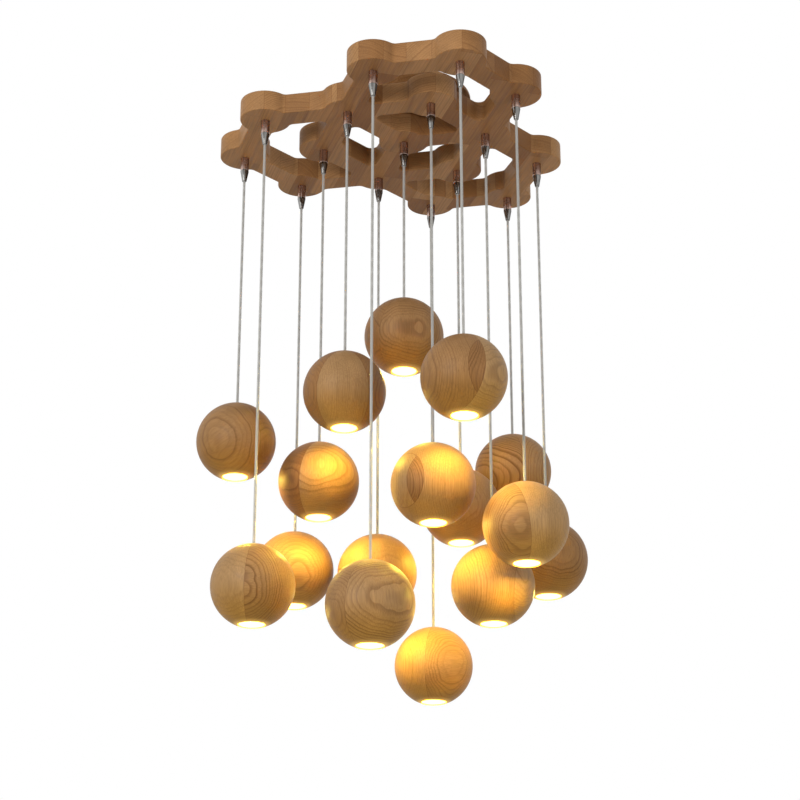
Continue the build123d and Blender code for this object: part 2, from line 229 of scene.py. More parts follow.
def add(tree, kind, inputs=(), **settings):
    """Node with its options set and its sockets filled or linked."""
    made = tree.nodes.new(kind)
    for name, value in settings.items():
        setattr(made, name, value)
    for socket, value in dict(inputs).items():
        if isinstance(value, bpy.types.NodeSocket):
            tree.links.new(value, made.inputs[socket])
        else:
            made.inputs[socket].default_value = value
    return made


def sum_of(tree, operation, *values, clamp=False):
    made = add(tree, "ShaderNodeMath", enumerate(values), operation=operation, use_clamp=clamp)
    return made.outputs[0]


def vector_of(tree, operation, *values):
    return add(tree, "ShaderNodeVectorMath", enumerate(values), operation=operation).outputs[0]


def mixed(tree, kind, factor, first, second, blend="MIX"):
    """Mix of two values, vectors or colours."""
    slots = {"FLOAT": (2, 3, 0), "VECTOR": (4, 5, 1), "RGBA": (6, 7, 2)}[kind]
    made = add(tree, "ShaderNodeMix", data_type=kind, blend_type=blend)
    for slot, value in zip((0,) + slots[:2], (factor, first, second)):
        if isinstance(value, bpy.types.NodeSocket):
            tree.links.new(value, made.inputs[slot])
        else:
            made.inputs[slot].default_value = value
    return made.outputs[slots[2]]


def ramp(tree, value, low, high, to_low=0.0, to_high=1.0):
    """Smooth rise of a value between two limits."""
    made = add(tree, "ShaderNodeMapRange", interpolation_type="SMOOTHSTEP")
    tree.links.new(value, made.inputs["Value"])
    for name, limit in (("From Min", low), ("From Max", high), ("To Min", to_low), ("To Max", to_high)):
        made.inputs[name].default_value = limit
    return made.outputs[0]


def noise_of(tree, vector, scale, detail=2.0):
    made = add(tree, "ShaderNodeTexNoise", {"Vector": vector, "Scale": scale, "Detail": detail})
    return made.outputs[0]


def group(name, inputs, outputs):
    """Empty node group with named sockets: its tree, its inputs and its outputs."""
    kinds = {"vector": "NodeSocketVector", "value": "NodeSocketFloat", "colour": "NodeSocketColor"}
    tree = bpy.data.node_groups.new(name, "ShaderNodeTree")
    for way, sockets in (("INPUT", inputs), ("OUTPUT", outputs)):
        for label, kind in sockets.items():
            tree.interface.new_socket(label, in_out=way, socket_type=kinds[kind])
    return tree, add(tree, "NodeGroupInput").outputs, add(tree, "NodeGroupOutput").inputs


def placed(tree, name, inputs):
    """A node group placed in a material."""
    return add(tree, "ShaderNodeGroup", inputs, node_tree=bpy.data.node_groups[name]).outputs


def growth_rings():
    """Year rings round the Z axis with fibres and pores along it."""
    if "growth rings" in bpy.data.node_groups:
        return
    tree, given, out = group(
        "growth rings",
        {"Vector": "vector", "Pitch": "value", "Wander": "value", "Seed": "value", "Brown": "value",
         "Strength": "value", "Pale Wood": "colour", "Brown Wood": "colour", "Dark Grain": "colour"},
        {"Color": "colour", "Roughness": "value", "Height": "value"},
    )
    place = given["Vector"]
    shift = add(tree, "ShaderNodeCombineXYZ", {i: given["Seed"] for i in range(3)}).outputs[0]
    slow = vector_of(tree, "ADD", vector_of(tree, "MULTIPLY", place, (1, 1, 0.35)), shift)
    wander = sum_of(tree, "SUBTRACT", noise_of(tree, slow, 24), 0.5)
    flat = vector_of(tree, "MULTIPLY", place, (1, 1, 0))
    radius = add(tree, "ShaderNodeVectorMath", {0: flat}, operation="LENGTH").outputs["Value"]
    radius = sum_of(tree, "MULTIPLY_ADD", wander, given["Wander"], radius)
    lean = add(tree, "ShaderNodeTexNoise", {"Scale": 70.0, "Detail": 1.0}, noise_dimensions="1D")
    tree.links.new(sum_of(tree, "ADD", radius, given["Seed"]), lean.inputs["W"])
    years = sum_of(tree, "DIVIDE", radius, given["Pitch"])
    years = sum_of(tree, "MULTIPLY_ADD", lean.outputs[0], 2.6, years)
    year = add(tree, "ShaderNodeTexWhiteNoise", noise_dimensions="1D")
    tree.links.new(sum_of(tree, "ADD", sum_of(tree, "FLOOR", years), given["Seed"]), year.inputs["W"])
    season = sum_of(tree, "FRACT", years)
    late = sum_of(tree, "MULTIPLY", ramp(tree, season, 0.4, 0.92), ramp(tree, season, 0.93, 1.0, 1, 0))
    bold = ramp(tree, year.outputs["Value"], 0, 1, 0.4, 1.1)
    fibre = noise_of(tree, vector_of(tree, "MULTIPLY", place, (850, 850, 28)), 1.0)
    pores = noise_of(tree, vector_of(tree, "MULTIPLY", place, (1300, 1300, 60)), 1.0)
    pores = ramp(tree, pores, 0.58, 0.72)
    pores = sum_of(tree, "MULTIPLY", pores, sum_of(tree, "SUBTRACT", 1.0, late))
    ringed = sum_of(tree, "MULTIPLY", sum_of(tree, "MULTIPLY", late, bold), given["Strength"], clamp=True)
    wood = mixed(tree, "RGBA", given["Brown"], given["Pale Wood"], given["Brown Wood"])
    wood = mixed(tree, "RGBA", ringed, wood, given["Dark Grain"])
    wood = mixed(tree, "RGBA", sum_of(tree, "MULTIPLY", pores, 0.3), wood, given["Dark Grain"])
    light = ramp(tree, fibre, 0.25, 0.75, 0.86, 1.08)
    light = sum_of(tree, "MULTIPLY", light, ramp(tree, noise_of(tree, slow, 40), 0.3, 0.7, 0.9, 1.06))
    tint = add(tree, "ShaderNodeCombineXYZ", {i: light for i in range(3)}).outputs[0]
    tree.links.new(mixed(tree, "RGBA", 1.0, wood, tint, "MULTIPLY"), out["Color"])
    tree.links.new(ramp(tree, sum_of(tree, "ADD", late, fibre), 0.2, 1.6, 0.56, 0.42), out["Roughness"])
    rough = sum_of(tree, "SUBTRACT", sum_of(tree, "MULTIPLY", fibre, 0.5), pores)
    tree.links.new(sum_of(tree, "MULTIPLY_ADD", late, 0.4, rough), out["Height"])


def glue_line():
    """Glue plane that stands upright: what lies beyond it, and the line itself."""
    if "glue line" in bpy.data.node_groups:
        return
    tree, given, out = group(
        "glue line", {"Vector": "vector", "Normal": "vector", "Offset": "value"},
        {"Beyond": "value", "Line": "value"},
    )
    far = add(
        tree, "ShaderNodeVectorMath", {0: given["Vector"], 1: given["Normal"]}, operation="DOT_PRODUCT"
    ).outputs["Value"]
    far = sum_of(tree, "SUBTRACT", far, given["Offset"])
    tree.links.new(sum_of(tree, "GREATER_THAN", far, 0.0), out["Beyond"])
    tree.links.new(ramp(tree, sum_of(tree, "ABSOLUTE", far), 0.00005, 0.0004, 1, 0), out["Line"])


def glued_strips():
    """Strips glued side by side and end to end: grain of each piece, its tone and the glue between."""
    if "glued strips" in bpy.data.node_groups:
        return
    tree, given, out = group(
        "glued strips", {"Vector": "vector", "Width": "value", "Run": "value"},
        {"Grain": "vector", "Tone": "value", "Line": "value"},
    )
    axes = add(tree, "ShaderNodeSeparateXYZ", {0: given["Vector"]}).outputs
    across = sum_of(tree, "DIVIDE", axes["Y"], given["Width"])
    strip = sum_of(tree, "FLOOR", across)
    shifted = add(tree, "ShaderNodeTexWhiteNoise", {"W": strip}, noise_dimensions="1D").outputs["Value"]
    along = sum_of(tree, "ADD", sum_of(tree, "DIVIDE", axes["X"], given["Run"]), shifted)
    piece = sum_of(tree, "FLOOR", along)
    key = add(tree, "ShaderNodeCombineXYZ", {0: strip, 1: piece}).outputs[0]
    chance = add(tree, "ShaderNodeTexWhiteNoise", {"Vector": key}, noise_dimensions="2D").outputs
    lots = add(tree, "ShaderNodeSeparateColor", {0: chance["Color"]}).outputs
    local = sum_of(tree, "MULTIPLY", sum_of(tree, "FRACT", across), given["Width"])
    grain = add(tree, "ShaderNodeCombineXYZ", {
        0: sum_of(tree, "MULTIPLY_ADD", sum_of(tree, "SUBTRACT", lots[0], 0.5), 0.5, local),
        1: sum_of(tree, "ADD", axes["Z"], sum_of(tree, "MULTIPLY_ADD", lots[1], 0.12, 0.13)),
        2: sum_of(tree, "MULTIPLY_ADD", lots[2], 3.0, axes["X"]),
    }).outputs[0]
    tree.links.new(grain, out["Grain"])
    tree.links.new(chance["Value"], out["Tone"])
    lines = []
    for value, step in ((across, given["Width"]), (along, given["Run"])):
        edge = sum_of(tree, "ABSOLUTE", sum_of(tree, "SUBTRACT", sum_of(tree, "FRACT", value), 0.5))
        edge = sum_of(tree, "MULTIPLY", sum_of(tree, "SUBTRACT", 0.5, edge), step)
        lines.append(ramp(tree, edge, 0.0001, 0.0005, 1, 0))
    tree.links.new(sum_of(tree, "MAXIMUM", *lines), out["Line"])


def handling():
    """Fine turning marks and rubbed patches on small metal and moulded parts."""
    if "handling" in bpy.data.node_groups:
        return
    tree, given, out = group(
        "handling", {"Vector": "vector", "Colour": "colour", "Smooth": "value", "Rough": "value"},
        {"Color": "colour", "Roughness": "value", "Height": "value"},
    )
    patches = noise_of(tree, given["Vector"], 160, 4)
    marks = noise_of(tree, vector_of(tree, "MULTIPLY", given["Vector"], (60, 60, 2600)), 1.0)
    worn = ramp(tree, patches, 0.35, 0.7)
    dull = mixed(tree, "RGBA", 0.25, given["Colour"], (0.02, 0.02, 0.02, 1))
    tree.links.new(mixed(tree, "RGBA", worn, given["Colour"], dull), out["Color"])
    tree.links.new(mixed(tree, "FLOAT", worn, given["Smooth"], given["Rough"]), out["Roughness"])
    tree.links.new(marks, out["Height"])


def finish_of(name, **sockets):
    """New material: its node tree and its Principled shader with plain values set."""
    made = bpy.data.materials.new(name)
    made.use_nodes = True
    shader = made.node_tree.nodes["Principled BSDF"]
    for socket, value in sockets.items():
        shader.inputs[socket.replace("_", " ")].default_value = value
    return made, made.node_tree, shader


def bumped(tree, shader, height, distance, strength=0.5):
    made = add(tree, "ShaderNodeBump", {"Height": height, "Strength": strength, "Distance": distance})
    tree.links.new(made.outputs[0], shader.inputs["Normal"])


def opaque(value):
    return (*value, 1)


def plain_finish(name, hue, smooth, rough, metallic=0.0):
    """Metal or moulding with turning marks and rubbed patches."""
    if name in bpy.data.materials:
        return bpy.data.materials[name]
    handling()
    made, tree, shader = finish_of(name, Metallic=metallic)
    coords = add(tree, "ShaderNodeTexCoord").outputs["Object"]
    worn = placed(tree, "handling", {
        "Vector": coords, "Colour": opaque(hue), "Smooth": smooth, "Rough": rough
    })
    tree.links.new(worn["Color"], shader.inputs["Base Color"])
    tree.links.new(worn["Roughness"], shader.inputs["Roughness"])
    bumped(tree, shader, worn["Height"], MARK_DEPTH, 0.3)
    return made


def reflection_banded_finish(name, hue, dark, smooth, rough):
    """Bright turned metal with painted reflections: light and dark bands along it, as a room would leave
    them mirrored in the metal.
    """
    made, tree, shader = finish_of(name, Metallic=1.0)
    coords = add(tree, "ShaderNodeTexCoord").outputs
    way = add(tree, "ShaderNodeSeparateXYZ", {0: coords["Normal"]}).outputs
    turn = sum_of(tree, "ARCTAN2", way["Y"], way["X"])
    bands = add(tree, "ShaderNodeTexNoise", {"Scale": 1.7, "Detail": 1.0}, noise_dimensions="1D")
    tree.links.new(turn, bands.inputs["W"])
    # Painted reflection: picks the light or the dark band colour by the way the surface faces round its
    # axis
    light = ramp(tree, bands.outputs[0], 0.38, 0.62)
    handling()
    worn = placed(tree, "handling", {
        "Vector": coords["Object"], "Colour": mixed(tree, "RGBA", light, opaque(dark), opaque(hue)),
        "Smooth": smooth, "Rough": rough,
    })
    tree.links.new(worn["Color"], shader.inputs["Base Color"])
    tree.links.new(worn["Roughness"], shader.inputs["Roughness"])
    bumped(tree, shader, worn["Height"], MARK_DEPTH, 0.3)
    return made


def wood_inputs(colours):
    return {
        "Pale Wood": opaque(colours.pale_wood),
        "Brown Wood": opaque(colours.brown_wood),
        "Dark Grain": opaque(colours.dark_grain),
    }


def glued_blocks(tree, number, coords, centre, sizes, studio):
    """Grain, pitch, brownness and strength of the rings in a ball's blocks, and the glue lines."""
    blocks, seams = GRAIN[number]
    facing = (Vector(studio.camera) - centre).normalized()
    right = Vector((0, 0, 1)).cross(facing).normalized()
    up = facing.cross(right)

    def on_face(over, rise):
        return over * right + rise * up + sqrt(max(0, 1 - over**2 - rise**2)) * facing

    kinds = ("VECTOR", "FLOAT", "FLOAT", "FLOAT")
    apart = 0.37
    found = None
    lines = 0.0
    for i, (over, rise, pith, pitch, lean, brown, strength) in enumerate(blocks):
        pole = on_face(over, rise).normalized()
        fibre = cos(radians(lean)) * up + sin(radians(lean)) * right
        fibre = (fibre - fibre.dot(pole) * pole).normalized()
        turn = Matrix((pole, fibre.cross(pole), fibre)).to_euler()
        grain = add(tree, "ShaderNodeMapping", {
            "Vector": coords, "Location": (pith / 1000, 0, apart * i), "Rotation": turn
        }).outputs[0]
        block = [grain, pitch / 1000, brown, strength]
        if found is None:
            found = block
            continue
        top, bottom, middle = (on_face(*point) for point in seams[i - 1])
        normal = (bottom - top).cross(middle - top).normalized()
        normal = normal if normal.dot(right) > 0 else -normal
        glue = placed(tree, "glue line", {
            "Vector": coords, "Normal": normal, "Offset": normal.dot(top) * sizes.ball / 2
        })
        covered = sum_of(tree, "MULTIPLY", lines, sum_of(tree, "SUBTRACT", 1.0, glue["Beyond"]))
        lines = sum_of(tree, "MAXIMUM", glue["Line"], covered)
        found = [
            mixed(tree, kind, glue["Beyond"], old, new) for kind, old, new in zip(kinds, found, block)
        ]
    return found, lines


def painted_mouth_glow(tree, coords, level, sizes, colours):
    """Painted glow: emission on the wood that stands for a lamp's light in the bore of its ball, and a
    painted halo round the mouth.
    """
    halo_low, halo_high, glow_low, glow_high = -0.048, -0.0425, -0.05, -0.022
    bore, edge, bore_fade, bore_top = sizes.bore / 2, 0.0004, 0.0, 0.02
    painted_halo = sum_of(tree, "POWER", ramp(tree, level, halo_low, halo_high, 1, 0), 2.0)
    painted_glow = sum_of(tree, "MULTIPLY_ADD", painted_halo, 0.5, ramp(tree, level, glow_low, glow_high, 0.05, 0))
    painted_glow = mixed(tree, "RGBA", painted_glow, (0, 0, 0, 1), opaque(colours.glow))
    flat = vector_of(tree, "MULTIPLY", coords, (1, 1, 0))
    out = add(tree, "ShaderNodeVectorMath", {0: flat}, operation="LENGTH").outputs["Value"]
    inside = sum_of(
        tree, "MULTIPLY", ramp(tree, out, bore, bore + edge, 1, 0),
        ramp(tree, level, bore_fade, bore_top, 1, 0),
    )
    return mixed(tree, "RGBA", inside, painted_glow, opaque(colours.bore))


def ball_wood(number, centre, sizes, colours, studio):
    """Wood of one ball, glued from the blocks that the grain table gives."""
    growth_rings()
    glue_line()
    made, tree, shader = finish_of("turned_wood_" + number, Emission_Strength=1.0)
    shader.inputs["Specular IOR Level"].default_value = WOOD_SHEEN
    coords = add(tree, "ShaderNodeTexCoord").outputs["Object"]
    found, lines = glued_blocks(tree, number, coords, centre, sizes, studio)
    rings = placed(tree, "growth rings", {
        **dict(zip(("Vector", "Pitch", "Brown", "Strength"), found)),
        "Wander": 0.012, "Seed": 1.7 * int(number), **wood_inputs(colours),
    })
    lines = sum_of(tree, "MULTIPLY", lines, 0.55)
    wood = mixed(tree, "RGBA", lines, rings["Color"], opaque(colours.dark_grain))
    level = add(tree, "ShaderNodeSeparateXYZ", {0: coords}).outputs["Z"]
    # Painted glow: the wood's colour is tinted golden towards the mouth, standing for the lamp's light
    # warming the lower half
    painted_glow_tint, glow_tint_low, glow_tint_high = (0.88, 0.75, 0.34, 1), -0.042, 0.004
    glow_tinted_wood = mixed(tree, "RGBA", 1.0, wood, painted_glow_tint, "MULTIPLY")
    wood = mixed(tree, "RGBA", ramp(tree, level, glow_tint_low, glow_tint_high, 1, 0), wood, glow_tinted_wood)
    tree.links.new(wood, shader.inputs["Base Color"])
    tree.links.new(rings["Roughness"], shader.inputs["Roughness"])
    bumped(tree, shader, rings["Height"], GRAIN_DEPTH)
    # Painted glow: the ball's wood itself emits the lamp's light round the mouth and inside the bore
    tree.links.new(painted_mouth_glow(tree, coords, level, sizes, colours), shader.inputs["Emission Color"])
    return made


def board_wood(sizes, colours):
    """Canopy board of glued strips."""
    growth_rings()
    glued_strips()
    made, tree, shader = finish_of("glued_board")
    shader.inputs["Specular IOR Level"].default_value = WOOD_SHEEN
    coords = add(tree, "ShaderNodeTexCoord").outputs["Object"]
    turned = add(tree, "ShaderNodeMapping", {"Vector": coords, "Rotation": (0, 0, radians(62))}).outputs[0]
    strips = placed(tree, "glued strips", {"Vector": turned, "Width": sizes.strip, "Run": sizes.strip_run})
    woods = wood_inputs(colours)
    woods["Pale Wood"] = opaque(colours.board_wood)
    rings = placed(tree, "growth rings", {
        "Vector": strips["Grain"], "Pitch": 0.0030, "Wander": 0.005, "Seed": 31.0, "Strength": 0.36,
        "Brown": ramp(tree, strips["Tone"], 0, 1, 0.0, 0.95), **woods,
    })
    lines = sum_of(tree, "MULTIPLY", strips["Line"], 0.4)
    wood = mixed(tree, "RGBA", lines, rings["Color"], opaque(colours.dark_grain))
    tree.links.new(wood, shader.inputs["Base Color"])
    tree.links.new(rings["Roughness"], shader.inputs["Roughness"])
    bumped(tree, shader, rings["Height"], GRAIN_DEPTH)
    return made


def piece(name, mesh, materials, body, slot, node, place=(0, 0, 0)):
    """Object made from a mesh: dressed, riding on its body, standing for its CAD node."""
    made = bpy.data.objects.new(name, mesh)
    bpy.context.scene.collection.objects.link(made)
    made.location = place
    for material in materials:
        mesh.materials.append(material)
    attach(made, body)
    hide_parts(node)
    return made


def dress(node, material):
    """Gives a CAD node its finish."""
    mesh = frame["nodes"][node].data
    mesh.materials.clear()
    mesh.materials.append(material)


def mesh_of(name, parts, sharp=35):
    """Mesh from parts, each given as points, faces and a material number."""
    points, faces, marks = [], [], []
    for part_points, part_faces, mark in parts:
        start = len(points)
        points += part_points
        faces += [[start + i for i in face] for face in part_faces]
        marks += [mark] * len(part_faces)
    mesh = bpy.data.meshes.new(name)
    mesh.from_pydata(points, [], faces)
    mesh.polygons.foreach_set("material_index", marks)
    mesh.shade_smooth()
    mesh.set_sharp_from_angle(angle=radians(sharp))
    mesh.update()
    return mesh


def lathed(profile, steps, centre=(0, 0, 0), mark=0, closed=True):
    """Ring of facets turned about Z from (radius, height) corners, listed with the wood on their left."""
    points, faces = [], []
    for radius, height in profile:
        for i in range(steps):
            turn = 2 * pi * i / steps
            points.append((
                centre[0] + radius * cos(turn), centre[1] + radius * sin(turn), centre[2] + height
            ))
    count = len(profile)
    for row in range(count if closed else count - 1):
        below, above = row * steps, (row + 1) % count * steps
        for i in range(steps):
            j = (i + 1) % steps
            faces.append((below + i, below + j, above + j, above + i))
    return points, faces, mark


def arc(middle, radius, start, end, steps):
    """Points of a rounded corner in a profile."""
    return [
        (middle[0] + radius * cos(radians(start + (end - start) * i / steps)),
         middle[1] + radius * sin(radians(start + (end - start) * i / steps)))
        for i in range(steps + 1)
    ]


def ball_profile(sizes):
    """Turned outside, rounded mouth, lamp bore and the drilled way for the cord."""
    radius, bore, lip = sizes.ball / 2, sizes.bore / 2, sizes.mouth_round
    hole, thread, ceiling, shoulder = 0.00225, 0.00505, 0.014, 0.036
    middle = (bore + lip, -sqrt((radius - lip) ** 2 - (bore + lip) ** 2))
    seam = -90 + asin((bore + lip) / (radius - lip)) * 180 / pi
    outside = arc((0, 0), radius, seam, 90 - asin(hole / radius) * 180 / pi, 72)
    mouth = arc(middle, lip, 180, 360 + seam, 10)
    way = [(hole, shoulder), (thread, shoulder), (thread, ceiling), (bore, ceiling)]
    return mouth + outside[1:] + way


class PENDANT_OT_balls(bpy.types.Operator):
    """Turns the wooden balls, each glued from its own blocks"""

    bl_idname = "pendant.balls"
    bl_label = "Wooden balls"

    def execute(self, context):
        scene = context.scene
        sizes, colours, studio = scene.pendant_sizes, scene.pendant_colours, scene.pendant_studio
        profile = ball_profile(sizes)
        for number, (_, centre) in PENDANTS.items():
            mesh = mesh_of("turned_ball_" + number, [lathed(profile, sizes.steps)], 50)
            wood = ball_wood(number, centre, sizes, colours, studio)
            body = node = "ball_" + number
            piece("turned_ball_" + number, mesh, [wood], body, "turned_wood", node, centre)
        return {"FINISHED"}


class PENDANT_OT_lamps(bpy.types.Operator):
    """Fits the lamp, its holder and its fixings into each ball, and lights it"""

    bl_idname = "pendant.lamps"
    bl_label = "Lamps"

    def execute(self, context):
        scene = context.scene
        colours, studio = scene.pendant_colours, scene.pendant_studio
        capsule, tree, shader = finish_of("capsule_glow", Roughness=0.25, Emission_Strength=7.0)
        coords = add(tree, "ShaderNodeTexCoord").outputs["Object"]
        level = add(tree, "ShaderNodeSeparateXYZ", {0: coords}).outputs["Z"]
        hole, nipple, nipple_foot, shoulder = 0.0023, 0.005, 0.002, 0.036
        washer_top, nut_top, nut_foot, bevel = 0.014, 0.0125, 0.0075, 0.0007
        seat, holder_foot, capsule_tip = 0.0051, -0.008, -0.034
        bulb_drop = Vector((0, 0, -0.043))
        height = ramp(tree, level, capsule_tip, holder_foot)
        hot = mixed(tree, "RGBA", height, (1, 0.9, 0.68, 1), opaque(colours.glow))
        tree.links.new(hot, shader.inputs["Emission Color"])
        tree.links.new(hot, shader.inputs["Base Color"])
        ceramic = plain_finish("holder_ceramic", colours.ceramic, 0.3, 0.45)
        zinc = plain_finish("bright_zinc", colours.zinc, 0.25, 0.42, 1.0)
        glass_mark, ceramic_mark, zinc_mark = range(3)
        parts = [
            lathed([(hole, nipple_foot), (nipple, nipple_foot), (nipple, shoulder), (hole, shoulder)],
                   48, mark=zinc_mark),
            lathed([(seat, nut_top), (0.012, nut_top), (0.012, washer_top), (seat, washer_top)],
                   48, mark=zinc_mark),
            lathed([(seat, nut_foot), (0.007, nut_foot), (0.0078, nut_foot + bevel),
                    (0.0078, nut_top - bevel), (0.007, nut_top), (seat, nut_top)], 6, mark=zinc_mark),
            lathed([(0.001, holder_foot), (0.0082, holder_foot), (0.009, -0.0072), (0.009, 0.004),
                    (0.007, 0.006), (seat, 0.006), (seat, nipple_foot), (0.001, nipple_foot)],
                   48, mark=ceramic_mark),
            lathed([(0.0005, capsule_tip)] + arc((0.004, -0.031), 0.003, -90, 0, 8)
                   + [(0.007, -0.0095), (0.0062, holder_foot), (0.0005, holder_foot)], 48, mark=glass_mark),
        ]
        shared = mesh_of("lamp", parts)
        for material in (capsule, ceramic, zinc):
            shared.materials.append(material)
        for number, (_, centre) in PENDANTS.items():
            body, node = "ball_" + number, "lamp_" + number
            piece("capsule_lamp_" + number, shared, [], body, "lamp_glow", node, centre)
            light = bpy.data.lights.new("lamp_light_" + number, "POINT")
            light.energy = studio.lamp
            light.color = (1, 0.75, 0.09)
            light.shadow_soft_size = 0.006
            bulb = bpy.data.objects.new("lamp_light_" + number, light)
            scene.collection.objects.link(bulb)
            bulb.location = centre + bulb_drop
            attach(bulb, "ball_" + number)
        return {"FINISHED"}


def route(start, end, steps):
    """Points of a straight cord between its two ends, read from its spline."""
    curve = bpy.data.curves.new("route", "CURVE")
    curve.dimensions = "3D"
    spline = curve.splines.new("NURBS")
    spline.points.add(1)
    for point, place in zip(spline.points, (start, end)):
        point.co = (*place, 1)
    spline.order_u = 2
    spline.use_endpoint_u = True
    spline.resolution_u = steps
    holder = bpy.data.objects.new("route", curve)
    line = bpy.data.meshes.new_from_object(holder)
    points = [vertex.co.copy() for vertex in line.vertices]
    bpy.data.objects.remove(holder)
    bpy.data.curves.remove(curve)
    bpy.data.meshes.remove(line)
    return points


def swept(points, radius, sides, mark=0, swing=0.0, lay=1.0, phase=0.0):
    """Tube along a straight route, or a wire that winds round it at the distance swing."""
    run = (points[-1] - points[0]).normalized()
    side = run.orthogonal().normalized()
    other = run.cross(side)
    places, faces = [], []
    for point in points:
        turn = phase + 2 * pi * (point - points[0]).length / lay
        middle = point + swing * (cos(turn) * side + sin(turn) * other)
        for i in range(sides):
            spin = 2 * pi * i / sides
            places.append(middle + radius * (cos(spin) * side + sin(spin) * other))
    rows = len(points)
    for row in range(rows - 1):
        for i in range(sides):
            j = (i + 1) % sides
            faces.append((
                row * sides + i, row * sides + j, (row + 1) * sides + j, (row + 1) * sides + i
            ))
    faces += [tuple(range(sides))[::-1], tuple(range((rows - 1) * sides, rows * sides))]
    return [tuple(place) for place in places], faces, mark


def cord_parts(start, end, sizes):
    """Clear sheath and the two wires that wind round each other in it."""
    run = (Vector(end) - Vector(start)).length
    steps_a_turn, fewest = 14, 12
    points = route(start, end, max(fewest, int(run / sizes.strand_lay * steps_a_turn)))
    wire, swing = sizes.strand / 2, sizes.strand * 0.52
    return [
        swept([points[0], points[-1]], sizes.cord / 2, 24, 0),
        swept(points, wire, 8, 1, swing, sizes.strand_lay),
        swept(points, wire, 8, 1, swing, sizes.strand_lay, pi),
    ]


def cord_finishes(colours):
    """Clear sheath, and tinned wire."""
    if "clear_sheath" in bpy.data.materials:
        return bpy.data.materials["clear_sheath"], bpy.data.materials["tinned_strand"]
    clear, tree, shader = finish_of("clear_sheath", Roughness=0.22, Alpha=0.55)
    coords = add(tree, "ShaderNodeTexCoord").outputs["Object"]
    cloud = noise_of(tree, vector_of(tree, "MULTIPLY", coords, (300, 300, 40)), 1.0)
    dimmer = [0.8 * part for part in colours.clear]
    hue = mixed(tree, "RGBA", cloud, opaque(colours.clear), opaque(dimmer))
    tree.links.new(hue, shader.inputs["Base Color"])
    tree.links.new(ramp(tree, cloud, 0.3, 0.7, 0.16, 0.3), shader.inputs["Roughness"])
    strand = plain_finish("tinned_strand", colours.strand, 0.3, 0.5, 0.6)
    return clear, strand


class PENDANT_OT_cords(bpy.types.Operator):
    """Hangs the clear cords between the grips and the balls"""

    bl_idname = "pendant.cords"
    bl_label = "Cords"

    def execute(self, context):
        sizes, colours = context.scene.pendant_sizes, context.scene.pendant_colours
        finishes = cord_finishes(colours)
        for number, (flex, centre) in PENDANTS.items():
            end = Vector((flex.x, flex.y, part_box("cord_" + number)[0][2]))
            mesh = mesh_of("hanging_cord_" + number, cord_parts(flex, end, sizes))
            made = piece("hanging_cord_" + number, mesh, finishes, "cord_" + number, "cord_clear",
                         "cord_" + number)
            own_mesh(made)
        return {"FINISHED"}


class PENDANT_OT_grips(bpy.types.Operator):
    """Turns the steel barrels and the chromed cone nuts of the cord grips"""

    bl_idname = "pendant.grips"
    bl_label = "Cord grips"

    def execute(self, context):
        sizes, colours = context.scene.pendant_sizes, context.scene.pendant_colours
        # Both grip finishes carry painted reflections as light and dark bands
        steel = reflection_banded_finish("turned_steel", colours.steel, colours.steel_dark_reflection, 0.2, 0.32)
        chrome = reflection_banded_finish("bright_chrome", colours.chrome, colours.chrome_dark_reflection, 0.08, 0.2)
        radius, tip, cut = sizes.grip / 2, sizes.grip_tip / 2, sizes.grip_chamfer
        stud, spigot, bore, land = 0.004, 0.0038, 0.00225, 0.002
        stud_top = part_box("grip_barrels")[1][2]
        barrel, spigot_end, cone = UNDERSIDE - 0.018, UNDERSIDE - 0.025, UNDERSIDE - 0.034
        play, wall, tip_cut, throat = 0.0001, 0.0008, 0.0003, 0.006
        barrel_profile = [
            (bore, spigot_end), (spigot - cut, spigot_end), (spigot, spigot_end + cut), (spigot, barrel),
            (radius - cut, barrel), (radius, barrel + cut), (radius, UNDERSIDE - cut),
            (radius - cut, UNDERSIDE), (stud, UNDERSIDE), (stud, stud_top - cut), (stud - cut, stud_top),
            (bore, stud_top),
        ]
        cone_profile = [
            (tip - wall, cone), (tip - tip_cut, cone), (tip, cone + tip_cut),
            (radius, barrel - land), (radius, barrel - 2 * cut), (radius - cut, barrel - cut),
            (radius - cut, barrel), (spigot + play, barrel), (spigot + play, spigot_end),
            (tip - wall, spigot_end - throat),
        ]
        for name, node, profile, material, slot in (
            ("grip_steel_barrels", "grip_barrels", barrel_profile, steel, "grip_steel"),
            ("grip_cone_nuts", "grip_cones", cone_profile, chrome, "grip_chrome"),
        ):
            parts = [lathed(profile, 48, (flex.x, flex.y, 0)) for flex, _ in PENDANTS.values()]
            piece(name, mesh_of(name, parts, 30), [material], "canopy", slot, node)
        return {"FINISHED"}


class PENDANT_OT_canopy(bpy.types.Operator):
    """Finishes the canopy board and the ceiling rose, both glued from strips"""

    bl_idname = "pendant.canopy"
    bl_label = "Canopy board and rose"

    def execute(self, context):
        glued = board_wood(context.scene.pendant_sizes, context.scene.pendant_colours)
        dress("canopy_frame", glued)
        dress("ceiling_rose", glued)
        return {"FINISHED"}


class PENDANT_OT_fixings(bpy.types.Operator):
    """Finishes the washers, nuts, collets, keyhole plates and screws"""

    bl_idname = "pendant.fixings"
    bl_label = "Fixings"

    def execute(self, context):
        colours = context.scene.pendant_colours
        zinc = plain_finish("bright_zinc", colours.zinc, 0.25, 0.42, 1.0)
        for node in ("grip_washers", "grip_lock_nuts", "keyhole_plates", "wood_screws"):
            dress(node, zinc)
        dress("grip_collets", plain_finish("white_nylon", colours.nylon, 0.35, 0.5))
        return {"FINISHED"}


